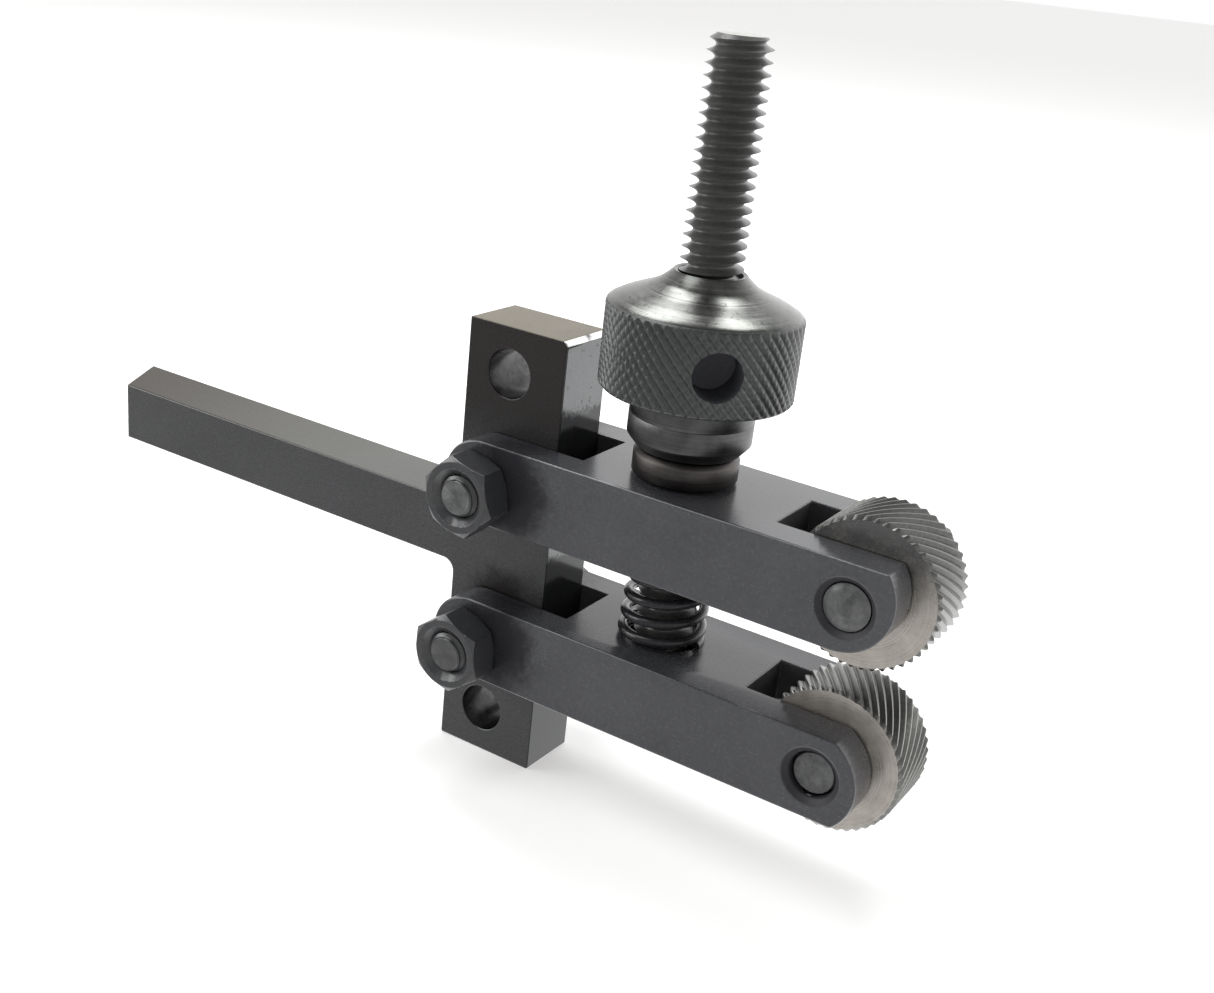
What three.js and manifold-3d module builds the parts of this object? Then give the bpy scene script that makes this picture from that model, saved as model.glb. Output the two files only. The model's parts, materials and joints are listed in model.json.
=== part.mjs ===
// Clamp-type (straddle) knurling tool: a square-shank holder whose upright head carries
// two clevis arms on shoulder bolts.  A long clamp screw with a knurled nut squeezes the
// arms, and with them two knurl wheels, onto a workpiece held in a lathe.
//
// Frame: millimetres, +Z up, +X from the shank towards the knurl wheels.  The origin is on
// the underside of the shank, on its centre line, HEAD_REAR_X behind the head.
import * as THREE from 'three';
import { mergeVertices } from 'three/addons/utils/BufferGeometryUtils.js';
import Module from 'manifold-3d';

const wasm = await Module();
wasm.setup();

// ---------------------------------------------------------------- driving dimensions (mm)
const SHANK = { height: 9.4, nearLength: 70.5, farLength: 76.0, fillet: 1.8 };
const HEAD_REAR_X = 40.0;
const HEAD = { length: 16.4, thickness: 10.4, below: 32.95, above: 33.4, chamfer: 0.7 };
const HEAD_MID_Z = SHANK.height / 2 - 0.7;
const PIVOT_X = HEAD_REAR_X + 7.2;
const ARM_SPREAD = 12.0;                          // of the arms' centre lines
const PIVOT_DROP = 1.0;                           // of the pivots below those lines
const SPARE_HOLE_Z = { upper: HEAD_MID_Z + 26.7, lower: HEAD_MID_Z - 26.0 };
const PIVOT_HOLE_R = 3.5;

const ARM = { height: 12.0, width: 20.8 };
const REAR_SLOT = { width: 10.8, depth: 13.5 };
const FRONT_SLOT = { width: 10.2, start: 43.0 };
const NOSE = { x: 54.6, radius: 7.4 };
const NOSE_OFFSET = { upper: 1.4, lower: 0.5 };   // of its round's centre, away from the work
const PIN_X = 55.7;
const REACH = { upper: 0, lower: -0.6 };          // added to slot, nose and pin
const PIN_HOLE_R = 3.2;
const PIN_SINK = { radius: 4.05, depth: 0.8 };
const SCREW_X = 26.3;
const SCREW_SLOT = { shift: 0.15, radius: 4.3, stretch: 1.4 };
const COUNTERBORE = { radius: 7.0, stretch: 1.0, depth: 6.8 };
const GRUB = { radius: 1.5, holeRadius: 1.55, y: 7.6, length: 2.4, sunk: 0.2 };

const BOLT = { shoulderR: 3.44, threadR: 3.0, acrossFlats: 10.0, headHeight: 4.0 };
const BOLT_WASHER = { radius: 6.0, bore: 3.6, thickness: 1.6 };
const HEX_NUT = { acrossFlats: 10.3, thickness: 5.0, bore: 3.07 };
const NUT_TURN_DEG = { upper: 46.0, lower: 36.5 };

const KNURL = { tipR: 10.2, rootR: 9.7, width: 9.8, teeth: 44, helixDeg: 33, bore: 3.2 };
const PIN = { radius: 3.13, chamfer: 0.35, farEnd: 9.7, upperNearEnd: -10.3, lowerNearEnd: -9.1 };

const SCREW = { radius: 4.0, top: 75.1, chamfer: 0.8, headR: 6.5, headHeight: 5.0 };
const SCREW_SOCKET = { acrossFlats: 5.0, depth: 3.0 };
const SEAT_WASHER = { radius: 6.5, bore: 4.2, thickness: 1.2 };
const THRUST_WASHER = { radius: 7.2, bore: 4.2, thickness: 3.5, chamfer: 0.5 };
const NUT = {
  bore: 4.07, footR: 7.2, footHeight: 1.5, spigotR: 8.4, bandR: 13.0,
  bandBottom: 7.8, bandTop: 19.0, edge: 0.35, neckR: 4.75, top: 23.7,
};
const NUT_CONE = [[12.0, 19.55], [9.0, 20.9], [7.0, 21.8], [5.6, 22.7]];
const TOMMY_HOLE = { radius: 3.25, depth: 6.2, azimuthDeg: 39 };

const SPRING = { meanR: 4.95, wireR: 0.75, turns: 4.6, stepsPerTurn: 14, wireSides: 8 };

const SIDE_GAP = 0.5;     // screw-driven washer to arm, so that a tilted arm just meets its rim
const TURN_GAP = 0.3;     // thrust washer to adjusting nut
const SEAT_GAP = 0.02;    // clamped faces that do not move on each other
const PAST = 1.0;         // how far a cutter runs past the face it opens

const ROUND_SIDES = 32;
const SMALL_SIDES = 16;

const UPPER_Z = HEAD_MID_Z + ARM_SPREAD;
const LOWER_Z = HEAD_MID_Z - ARM_SPREAD;
const PIVOT_Z = { upper: UPPER_Z - PIVOT_DROP, lower: LOWER_Z - PIVOT_DROP };
const HALF_ARM = ARM.height / 2;
const NEAR = -ARM.width / 2;
const FAR = ARM.width / 2;

// ---------------------------------------------------------------- materials
const STEEL = {
  blackened: { color: 0x46474b, roughness: 0.42, metalness: 0.9 },
  fastener: { color: 0x3a3b3e, roughness: 0.38, metalness: 0.9 },
  turned: { color: 0x86888a, roughness: 0.3, metalness: 1.0 },
  knurl: { color: 0x77777a, roughness: 0.36, metalness: 1.0 },
  spring: { color: 0x1c1c1e, roughness: 0.18, metalness: 0.9 },
};

// ---------------------------------------------------------------- solids and booleans
/** A three.js geometry as a manifold solid, with shared corners merged. */
function toSolid(geometry) {
  const bare = geometry.clone();
  bare.deleteAttribute('normal');
  bare.deleteAttribute('uv');
  const merged = mergeVertices(bare, 1e-4);
  const corners = merged.index.array;
  const kept = [];
  for (let i = 0; i < corners.length; i += 3) {
    const [a, b, c] = [corners[i], corners[i + 1], corners[i + 2]];
    if (a !== b && b !== c && c !== a) kept.push(a, b, c);
  }
  return new wasm.Manifold(new wasm.Mesh({
    numProp: 3,
    vertProperties: new Float32Array(merged.attributes.position.array),
    triVerts: new Uint32Array(kept),
  }));
}

/** A manifold solid as a flat-shaded three.js geometry. */
function toGeometry(solid) {
  const mesh = solid.getMesh();
  const geometry = new THREE.BufferGeometry();
  geometry.setAttribute('position', new THREE.BufferAttribute(mesh.vertProperties, 3));
  geometry.setIndex(new THREE.BufferAttribute(mesh.triVerts, 1));
  geometry.computeVertexNormals();
  return geometry;
}

/** The first geometry with all the others cut out of it. */
function cut(body, ...cutters) {
  let solid = toSolid(body);
  for (const cutter of cutters) solid = solid.subtract(toSolid(cutter));
  return toGeometry(solid);
}

function join(...bodies) {
  return toGeometry(bodies.map(toSolid).reduce((sum, next) => sum.add(next)));
}

function box([x0, x1], [y0, y1], [z0, z1]) {
  const geometry = new THREE.BoxGeometry(x1 - x0, y1 - y0, z1 - z0);
  return geometry.translate((x0 + x1) / 2, (y0 + y1) / 2, (z0 + z1) / 2);
}

/** A shape drawn in X and Z, given thickness from y0 to y1. */
function plate(shape, [y0, y1], curveSegments = 8) {
  const options = { depth: y1 - y0, bevelEnabled: false, curveSegments };
  return new THREE.ExtrudeGeometry(shape, options).rotateX(Math.PI / 2).translate(0, y1, 0);
}

/** A shape drawn in X and Y, standing from z0 to z1. */
function column(shape, [z0, z1], curveSegments = 6) {
  const options = { depth: z1 - z0, bevelEnabled: false, curveSegments };
  return new THREE.ExtrudeGeometry(shape, options).translate(0, 0, z0);
}

/** A profile of [radius, height] points turned about the Z axis. */
function turned(profile, sides = ROUND_SIDES) {
  const points = profile.map(([r, h]) => new THREE.Vector2(r, h));
  return new THREE.LatheGeometry(points, sides).rotateX(Math.PI / 2);
}

/** A round bar about the Z axis, chamfered at either end. */
function bar(radius, [z0, z1], { sides = ROUND_SIDES, lowChamfer = 0, highChamfer = 0 } = {}) {
  const profile = [[0, z0], [radius - lowChamfer, z0]];
  if (lowChamfer > 0) profile.push([radius, z0 + lowChamfer]);
  if (highChamfer > 0) profile.push([radius, z1 - highChamfer]);
  profile.push([radius - highChamfer, z1], [0, z1]);
  return turned(profile, sides);
}

/** A ring about the Z axis. */
function ring(outer, inner, [z0, z1], chamfer = 0, sides = ROUND_SIDES) {
  const profile = [[inner, z0], [outer, z0], [outer, z1 - chamfer]];
  if (chamfer > 0) profile.push([outer - chamfer, z1]);
  profile.push([inner, z1], [inner, z0]);
  return turned(profile, sides);
}

/** Turns what was made about Z to lie along Y, and puts it at (x, z). */
function alongY(geometry, x, z) {
  return geometry.rotateX(-Math.PI / 2).translate(x, 0, z);
}

function hexagon(acrossFlats, turnDeg = 0) {
  const shape = new THREE.Shape();
  const radius = acrossFlats / Math.sqrt(3);
  for (let i = 0; i < 6; i += 1) {
    const angle = THREE.MathUtils.degToRad(turnDeg + 60 * i);
    const corner = [radius * Math.cos(angle), radius * Math.sin(angle)];
    if (i === 0) shape.moveTo(...corner);
    else shape.lineTo(...corner);
  }
  return shape;
}

/** A slot with round ends, long in X, centred on (x, 0). */
function obround(x, radius, stretch) {
  const shape = new THREE.Shape();
  shape.absarc(x + stretch / 2, 0, radius, -Math.PI / 2, Math.PI / 2, false);
  shape.absarc(x - stretch / 2, 0, radius, Math.PI / 2, 1.5 * Math.PI, false);
  return shape;
}

// ---------------------------------------------------------------- holder
function holderBody() {
  const front = HEAD_REAR_X + HEAD.length;
  const [low, high] = [HEAD_MID_Z - HEAD.below, HEAD_MID_Z + HEAD.above];
  const side = new THREE.Shape();
  side.moveTo(HEAD_REAR_X, low);
  side.lineTo(front, low);
  side.lineTo(front, high - HEAD.chamfer);
  side.lineTo(front - HEAD.chamfer, high);
  side.lineTo(HEAD_REAR_X, high);
  side.lineTo(HEAD_REAR_X, SHANK.height + SHANK.fillet);
  side.absarc(HEAD_REAR_X - SHANK.fillet, SHANK.height + SHANK.fillet, SHANK.fillet,
    0, -Math.PI / 2, true);
  side.lineTo(HEAD_REAR_X - SHANK.farLength, SHANK.height);
  side.lineTo(HEAD_REAR_X - SHANK.farLength, 0);
  side.lineTo(HEAD_REAR_X - SHANK.fillet, 0);
  side.absarc(HEAD_REAR_X - SHANK.fillet, -SHANK.fillet, SHANK.fillet, Math.PI / 2, 0, true);
  side.closePath();

  const half = HEAD.thickness / 2;
  const body = plate(side, [-half, half], 6);

  // The shank is cut off at a slant: its far side is longer than its near side.
  const [nearEnd, farEnd] = [HEAD_REAR_X - SHANK.nearLength, HEAD_REAR_X - SHANK.farLength];
  const slant = (farEnd - nearEnd) / HEAD.thickness;
  const offcut = new THREE.Shape();
  offcut.moveTo(nearEnd - slant * PAST, -half - PAST);
  offcut.lineTo(farEnd + slant * PAST, half + PAST);
  offcut.lineTo(farEnd - 10, half + PAST);
  offcut.lineTo(farEnd - 10, -half - PAST);
  offcut.closePath();

  const crossHoles = [...Object.values(PIVOT_Z), ...Object.values(SPARE_HOLE_Z)]
    .map((z) => alongY(bar(PIVOT_HOLE_R, [-half - PAST, half + PAST]), PIVOT_X, z));
  return cut(body, column(offcut, [-PAST, SHANK.height + PAST]), ...crossHoles);
}

// ---------------------------------------------------------------- arms
// An arm is drawn on its centre line, X forward from its pivot and +Z away from the other arm.
function armSide(which) {
  const side = new THREE.Shape();
  const noseZ = NOSE_OFFSET[which];
  const outerAngle = Math.asin((HALF_ARM - noseZ) / NOSE.radius);
  const innerAngle = Math.asin((-HALF_ARM - noseZ) / NOSE.radius);
  side.absarc(0, 0, HALF_ARM, Math.PI / 2, 1.5 * Math.PI, false);
  side.absarc(NOSE.x + REACH[which], noseZ, NOSE.radius, innerAngle, outerAngle, false);
  side.closePath();
  return side;
}

function arm(which) {
  const half = ARM.width / 2;
  const pinX = PIN_X + REACH[which];
  const pivotZ = which === 'upper' ? -PIVOT_DROP : PIVOT_DROP;
  const tall = [-HALF_ARM - PAST, HALF_ARM + PAST];
  const wide = [-half - PAST, half + PAST];
  const cutters = [
    box([-HALF_ARM - PAST, REAR_SLOT.depth], [-REAR_SLOT.width / 2, REAR_SLOT.width / 2], tall),
    box([FRONT_SLOT.start + REACH[which], NOSE.x + NOSE.radius + PAST],
      [-FRONT_SLOT.width / 2, FRONT_SLOT.width / 2], tall),
    alongY(bar(PIVOT_HOLE_R, wide), 0, pivotZ),
    alongY(bar(PIN_HOLE_R, wide), pinX, 0),
    column(obround(SCREW_X + SCREW_SLOT.shift, SCREW_SLOT.radius, SCREW_SLOT.stretch), tall),
    bar(GRUB.holeRadius, [0, HALF_ARM + PAST], { sides: SMALL_SIDES })
      .translate(pinX, GRUB.y, 0),
  ];
  for (const end of [-1, 1]) {
    const mouth = turned([[0, -PIN_SINK.depth], [PIN_HOLE_R, -PIN_SINK.depth],
      [PIN_SINK.radius, 0], [PIN_SINK.radius, PAST], [0, PAST]]);
    cutters.push(mouth.rotateX((-end * Math.PI) / 2).translate(pinX, end * half, 0));
  }
  if (which === 'lower') {
    const pocket = obround(SCREW_X + SCREW_SLOT.shift, COUNTERBORE.radius, COUNTERBORE.stretch);
    cutters.push(column(pocket, [HALF_ARM - COUNTERBORE.depth, HALF_ARM + PAST]));
  }
  return cut(plate(armSide(which), [-half, half]), ...cutters);
}

/** Puts what was drawn in an arm's own frame on the upper arm, or turned over on the lower. */
function placeOnArm(mesh, which) {
  mesh.position.set(PIVOT_X, 0, which === 'upper' ? UPPER_Z : LOWER_Z);
  mesh.rotation.set(which === 'upper' ? 0 : Math.PI, 0, 0);
  return mesh;
}

// ---------------------------------------------------------------- pivot bolts
function pivotBolt(z) {
  const headFrom = FAR + BOLT_WASHER.thickness + 2 * SEAT_GAP;
  const shaft = turned([
    [0, NEAR - HEX_NUT.thickness], [BOLT.threadR - 0.5, NEAR - HEX_NUT.thickness],
    [BOLT.threadR, NEAR - HEX_NUT.thickness + 0.5], [BOLT.threadR, NEAR + 0.4],
    [BOLT.shoulderR, NEAR + 0.4], [BOLT.shoulderR, headFrom + 1], [0, headFrom + 1],
  ]);
  const head = column(hexagon(BOLT.acrossFlats, 12), [headFrom, headFrom + BOLT.headHeight]);
  return alongY(join(shaft, head), PIVOT_X, z);
}

function pivotWasher(z) {
  const span = [FAR + SEAT_GAP, FAR + SEAT_GAP + BOLT_WASHER.thickness];
  return alongY(ring(BOLT_WASHER.radius, BOLT_WASHER.bore, span), PIVOT_X, z);
}

/** A hexagon nut with both ends turned down to a cone, as nuts are. */
function pivotNut(z, turnDeg) {
  const outer = HEX_NUT.acrossFlats / Math.sqrt(3);
  const flat = HEX_NUT.acrossFlats / 2;
  const [low, high] = [0, HEX_NUT.thickness - SEAT_GAP];
  const prism = column(hexagon(HEX_NUT.acrossFlats, turnDeg), [low, high]);
  const cone = turned([[0, low], [flat, low], [outer + 0.2, low + 0.5],
    [outer + 0.2, high - 0.5], [flat, high], [0, high]]);
  const blank = toGeometry(toSolid(prism).intersect(toSolid(cone)));
  const mouth = (z0, z1, r0, r1) => turned([[0, z0], [r0, z0], [r1, z1], [0, z1]]);
  const nut = cut(blank, bar(HEX_NUT.bore, [low - PAST, high + PAST]),
    mouth(high - 0.6, high + 0.01, HEX_NUT.bore, HEX_NUT.bore + 0.6));
  return nut.rotateX(Math.PI / 2).translate(PIVOT_X, NEAR - SEAT_GAP, z);
}

// ---------------------------------------------------------------- knurl wheels and pins
function axleX(which) {
  return PIVOT_X + PIN_X + REACH[which];
}

/** A helically toothed wheel; hand is +1 or -1.  Its rim is as wide as the wheel. */
function knurlWheel(which, z) {
  const hand = which === 'upper' ? 1 : -1;
  const outline = new THREE.Shape();
  for (let i = 0; i < 2 * KNURL.teeth; i += 1) {
    const angle = (Math.PI * i) / KNURL.teeth;
    const radius = i % 2 === 0 ? KNURL.tipR : KNURL.rootR;
    const corner = [radius * Math.cos(angle), radius * Math.sin(angle)];
    if (i === 0) outline.moveTo(...corner);
    else outline.lineTo(...corner);
  }
  const bore = new THREE.Path();
  bore.absarc(0, 0, KNURL.bore, 0, 2 * Math.PI, true);
  outline.holes.push(bore);
  const options = { depth: KNURL.width, steps: 3, bevelEnabled: false, curveSegments: 16 };
  const wheel = new THREE.ExtrudeGeometry(outline, options).translate(0, 0, -KNURL.width / 2);

  const twist = (hand * Math.tan(THREE.MathUtils.degToRad(KNURL.helixDeg))) / KNURL.tipR;
  const place = wheel.attributes.position;
  for (let i = 0; i < place.count; i += 1) {
    const [x, y, h] = [place.getX(i), place.getY(i), place.getZ(i)];
    const turn = Math.hypot(x, y) > KNURL.bore + 1 ? twist * h : 0;
    const [c, s] = [Math.cos(turn), Math.sin(turn)];
    place.setXY(i, x * c - y * s, x * s + y * c);
  }
  return alongY(toGeometry(toSolid(wheel)), axleX(which), z);
}

function knurlPin(which, z) {
  const nearEnd = which === 'upper' ? PIN.upperNearEnd : PIN.lowerNearEnd;
  const chamfers = { lowChamfer: PIN.chamfer, highChamfer: PIN.chamfer };
  return alongY(bar(PIN.radius, [nearEnd, PIN.farEnd], chamfers), axleX(which), z);
}

/** A socket grub screw that bears on the pin, in the arm's own frame. */
function pinGrubScrew(which) {
  const top = HALF_ARM - GRUB.sunk;
  const body = bar(GRUB.radius, [top - GRUB.length, top],
    { sides: SMALL_SIDES, lowChamfer: 0.3, highChamfer: 0.2 });
  const socket = column(hexagon(1.5), [top - 1.2, top + PAST]);
  return cut(body, socket).translate(PIN_X + REACH[which], GRUB.y, 0);
}

// ---------------------------------------------------------------- clamp screw and its stack
const SEAT_FLOOR_Z = LOWER_Z - HALF_ARM + COUNTERBORE.depth;
const SEAT_WASHER_TOP = SEAT_FLOOR_Z - SIDE_GAP;
const SCREW_HEAD_TOP = SEAT_WASHER_TOP - SEAT_WASHER.thickness - SEAT_GAP;
const WASHER_BOTTOM = UPPER_Z + HALF_ARM + SIDE_GAP;
const NUT_BOTTOM = WASHER_BOTTOM + THRUST_WASHER.thickness + TURN_GAP;

function atScrew(geometry) {
  return geometry.translate(PIVOT_X + SCREW_X, 0, 0);
}

function clampScrew() {
  const headBottom = SCREW_HEAD_TOP - SCREW.headHeight;
  const shaft = bar(SCREW.radius, [SCREW_HEAD_TOP - 1, HEAD_MID_Z + SCREW.top],
    { highChamfer: SCREW.chamfer });
  const head = bar(SCREW.headR, [headBottom, SCREW_HEAD_TOP], { lowChamfer: 0.5 });
  const socket = column(hexagon(SCREW_SOCKET.acrossFlats),
    [headBottom - PAST, headBottom + SCREW_SOCKET.depth]);
  return atScrew(cut(join(shaft, head), socket));
}

function seatWasher() {
  const span = [SEAT_WASHER_TOP - SEAT_WASHER.thickness, SEAT_WASHER_TOP];
  return atScrew(ring(SEAT_WASHER.radius, SEAT_WASHER.bore, span));
}

function thrustWasher() {
  const span = [WASHER_BOTTOM, WASHER_BOTTOM + THRUST_WASHER.thickness];
  return atScrew(ring(THRUST_WASHER.radius, THRUST_WASHER.bore, span, THRUST_WASHER.chamfer));
}

function adjustingNut() {
  const profile = [
    [NUT.bore, 0], [NUT.footR, 0], [NUT.spigotR, NUT.footHeight],
    [NUT.spigotR, NUT.bandBottom], [NUT.bandR - NUT.edge, NUT.bandBottom],
    [NUT.bandR, NUT.bandBottom + NUT.edge], [NUT.bandR, NUT.bandTop],
    ...NUT_CONE, [NUT.neckR, NUT.top], [NUT.bore, NUT.top], [NUT.bore, 0],
  ];
  const middle = (NUT.bandBottom + NUT.bandTop) / 2;
  const hole = bar(TOMMY_HOLE.radius, [NUT.bandR - TOMMY_HOLE.depth, NUT.bandR + PAST],
    { sides: 24 });
  const turn = THREE.MathUtils.degToRad(TOMMY_HOLE.azimuthDeg);
  hole.rotateX(Math.PI / 2).rotateZ(turn).translate(0, 0, middle);
  return atScrew(cut(turned(profile), hole).translate(0, 0, NUT_BOTTOM));
}

/** A round-wire helix on the clamp screw, from the lower arm to the upper. */
class Helix extends THREE.Curve {
  constructor(radius, z0, z1, turns) {
    super();
    Object.assign(this, { radius, z0, z1, turns });
  }

  getPoint(t, target = new THREE.Vector3()) {
    const angle = 2 * Math.PI * this.turns * t;
    return target.set(this.radius * Math.cos(angle), this.radius * Math.sin(angle),
      this.z0 + (this.z1 - this.z0) * t);
  }
}

function spring() {
  const margin = SPRING.wireR + 0.1;
  const path = new Helix(SPRING.meanR, LOWER_Z + HALF_ARM + margin, UPPER_Z - HALF_ARM - margin,
    SPRING.turns);
  const wire = new THREE.Shape();
  wire.absarc(0, 0, SPRING.wireR, 0, 2 * Math.PI, false);
  const coil = new THREE.ExtrudeGeometry(wire, {
    steps: Math.round(SPRING.turns * SPRING.stepsPerTurn),
    curveSegments: SPRING.wireSides / 2,
    extrudePath: path,
    bevelEnabled: false,
  });
  return atScrew(coil);
}

// ---------------------------------------------------------------- assembly
function part(name, geometry, steel) {
  const mesh = new THREE.Mesh(geometry, new THREE.MeshStandardMaterial(steel));
  mesh.name = name;
  return mesh;
}

const tool = new THREE.Group();
tool.name = 'knurling_tool';
tool.add(part('holder_body', holderBody(), STEEL.blackened));
for (const which of ['upper', 'lower']) {
  const z = which === 'upper' ? UPPER_Z : LOWER_Z;
  tool.add(
    placeOnArm(part(`${which}_arm`, arm(which), STEEL.blackened), which),
    part(`${which}_pivot_bolt`, pivotBolt(PIVOT_Z[which]), STEEL.fastener),
    part(`${which}_pivot_washer`, pivotWasher(PIVOT_Z[which]), STEEL.fastener),
    part(`${which}_pivot_nut`, pivotNut(PIVOT_Z[which], NUT_TURN_DEG[which]), STEEL.fastener),
    part(`${which}_knurl_wheel`, knurlWheel(which, z), STEEL.knurl),
    part(`${which}_knurl_pin`, knurlPin(which, z), STEEL.fastener),
    placeOnArm(part(`${which}_pin_grub_screw`, pinGrubScrew(which), STEEL.fastener), which),
  );
}
tool.add(
  part('clamp_screw', clampScrew(), STEEL.fastener),
  part('seat_washer', seatWasher(), STEEL.fastener),
  part('thrust_washer', thrustWasher(), STEEL.turned),
  part('adjusting_nut', adjustingNut(), STEEL.turned),
  part('spring', spring(), STEEL.spring),
);

export default tool;
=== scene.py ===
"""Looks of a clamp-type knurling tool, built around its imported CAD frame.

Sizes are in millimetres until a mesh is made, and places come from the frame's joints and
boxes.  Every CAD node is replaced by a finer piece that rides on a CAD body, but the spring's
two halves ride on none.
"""

import json
import math

import bmesh
import bpy
import numpy as np
from mathutils import Matrix, Vector


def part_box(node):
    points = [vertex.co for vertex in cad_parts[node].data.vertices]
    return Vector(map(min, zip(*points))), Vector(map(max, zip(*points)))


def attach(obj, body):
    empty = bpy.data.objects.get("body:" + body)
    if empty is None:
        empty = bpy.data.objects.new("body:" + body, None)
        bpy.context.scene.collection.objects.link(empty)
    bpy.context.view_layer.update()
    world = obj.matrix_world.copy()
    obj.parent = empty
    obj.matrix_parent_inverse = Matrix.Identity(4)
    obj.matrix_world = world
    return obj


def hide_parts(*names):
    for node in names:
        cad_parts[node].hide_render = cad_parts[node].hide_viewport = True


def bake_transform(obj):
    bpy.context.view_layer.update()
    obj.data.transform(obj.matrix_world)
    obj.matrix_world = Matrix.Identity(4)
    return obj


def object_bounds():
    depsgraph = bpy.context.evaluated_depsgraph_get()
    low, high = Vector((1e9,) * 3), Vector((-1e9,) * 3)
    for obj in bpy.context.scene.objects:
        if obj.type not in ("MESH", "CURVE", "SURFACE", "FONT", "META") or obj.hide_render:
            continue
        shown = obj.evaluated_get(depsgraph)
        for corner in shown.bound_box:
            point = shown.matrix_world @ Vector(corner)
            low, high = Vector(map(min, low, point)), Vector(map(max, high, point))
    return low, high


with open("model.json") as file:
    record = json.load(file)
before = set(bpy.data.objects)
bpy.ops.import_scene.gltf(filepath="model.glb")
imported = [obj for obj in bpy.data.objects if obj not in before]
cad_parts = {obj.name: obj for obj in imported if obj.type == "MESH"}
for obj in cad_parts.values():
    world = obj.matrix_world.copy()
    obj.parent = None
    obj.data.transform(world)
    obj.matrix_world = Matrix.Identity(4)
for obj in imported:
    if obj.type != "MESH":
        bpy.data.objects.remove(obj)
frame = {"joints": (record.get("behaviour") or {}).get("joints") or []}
cad_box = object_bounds()

MM = 0.001
TAU = 2 * math.pi


# ---------------- places from the frame
def joint_at(name):
    """A joint's place, in millimetres."""
    joint = next(j for j in frame["joints"] if j["name"] == name)
    return Vector(joint["pos_m"]) / MM


def box_mm(node):
    """The low and high corners of a CAD node, in millimetres."""
    low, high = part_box(node)
    return low / MM, high / MM


PIVOT = {"upper": joint_at("upper_arm_hinge"), "lower": joint_at("lower_arm_hinge")}
AXLE = {"upper": joint_at("upper_knurl_spin"), "lower": joint_at("lower_knurl_spin")}
SCREW = joint_at("nut_turn")
FLOOR_Z = cad_box[0].z

SIDES = ("upper", "lower")
ARM_BOX = {side: box_mm(f"{side}_arm") for side in SIDES}
HALF_ARM = (ARM_BOX["upper"][1].z - ARM_BOX["upper"][0].z) / 2
HALF_WIDTH = ARM_BOX["upper"][1].y
ARM_Z = {side: (ARM_BOX[side][0].z + ARM_BOX[side][1].z) / 2 for side in SIDES}
SCREW_REACH = SCREW.x - PIVOT["upper"].x
PIN_REACH = {side: AXLE[side].x - PIVOT[side].x for side in SIDES}
NOSE_REACH = {side: ARM_BOX[side][1].x - PIVOT[side].x for side in SIDES}

# ---------------- sizes, as in the CAD
SHANK_TOP = 9.4
SHANK_FILLET = 1.8
SHANK_SLANT = 5.5
HEAD_LENGTH = 16.4
HEAD_CHAMFER = 0.7
SPARE_HOLES = (30.7, -22.0)
PIVOT_HOLE_R = 3.5
REAR_SLOT = (10.8, 13.5)        # width, and its end in front of the pivot
FRONT_SLOT = 10.2
SLOT_START = {"upper": 43.0, "lower": 42.4}
NOSE_R = 7.4
NOSE_RISE = {"upper": 1.4, "lower": 0.5}
PIN_HOLE_R = 3.2
PIN_SINK = (4.05, 0.8)          # radius, depth
SCREW_SLOT = (0.15, 4.3, 1.4)   # shift from the screw, radius, stretch
COUNTERBORE = (7.0, 1.0, 6.8)   # radius, stretch, depth
GRUB = {"radius": 1.5, "y": 7.6, "hole": 1.55, "flats": 1.5}
NUT_TURN = {"upper": 46.0, "lower": 36.5}
EDGE = {"arm": 0.28, "holder": 0.25, "fastener": 0.13, "grub": 0.06}
OVER = 1.0          # how far a cutter goes past the face that it cuts
TRIM = 0.03         # what the slanted cut takes off the shank's long corner
MERGE = 1e-7        # metres; corners closer than this are one
PLANE_SLACK = 1e-7  # metres; an edge this close to a cutting plane lies in it


# ---------------- meshes
def new_object(name, verts, faces, scale=MM):
    mesh = bpy.data.meshes.new(name)
    mesh.from_pydata((np.asarray(verts, float) * scale).tolist(), [], faces)
    mesh.update()
    obj = bpy.data.objects.new(name, mesh)
    bpy.context.scene.collection.objects.link(obj)
    return obj


def tidy_mesh(obj):
    """Merges doubled corners and turns every face outward."""
    bm = bmesh.new()
    bm.from_mesh(obj.data)
    bmesh.ops.remove_doubles(bm, verts=bm.verts, dist=MERGE)
    bmesh.ops.dissolve_degenerate(bm, edges=bm.edges, dist=MERGE)
    bmesh.ops.recalc_face_normals(bm, faces=bm.faces)
    bm.to_mesh(obj.data)
    bm.free()
    return obj


def move(obj, matrix):
    obj.data.transform(matrix)
    obj.data.update()
    return obj


def place(x=0.0, y=0.0, z=0.0):
    return Matrix.Translation(Vector((x, y, z)) * MM)


Z_TO_Y = Matrix.Rotation(-math.pi / 2, 4, "X")
Z_TO_NEAR = Matrix.Rotation(math.pi / 2, 4, "X")


def ring_faces(rows, columns, closed=True):
    """Faces between neighbouring rings of points, and from the last to the first."""
    faces = []
    for j in range(rows if closed else rows - 1):
        k = (j + 1) % rows
        for i in range(columns):
            n = (i + 1) % columns
            faces.append((j * columns + i, j * columns + n, k * columns + n, k * columns + i))
    return faces


def turned(name, profile, sides=96):
    """A closed body of revolution about Z; profile is [(radius, height), ...], going up
    the outside.  It closes on the axis, or on itself where it ends where it began."""
    rings = [p for i, p in enumerate(profile) if i == 0 or p != profile[i - 1]]
    closed = rings[0] == rings[-1]
    if closed:
        rings = rings[:-1]
    angle = np.arange(sides) * TAU / sides
    verts = []
    for radius, height in rings:
        verts += [(radius * math.cos(a), radius * math.sin(a), height) for a in angle]
    return tidy_mesh(new_object(name, verts, ring_faces(len(rings), sides, closed)))


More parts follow.
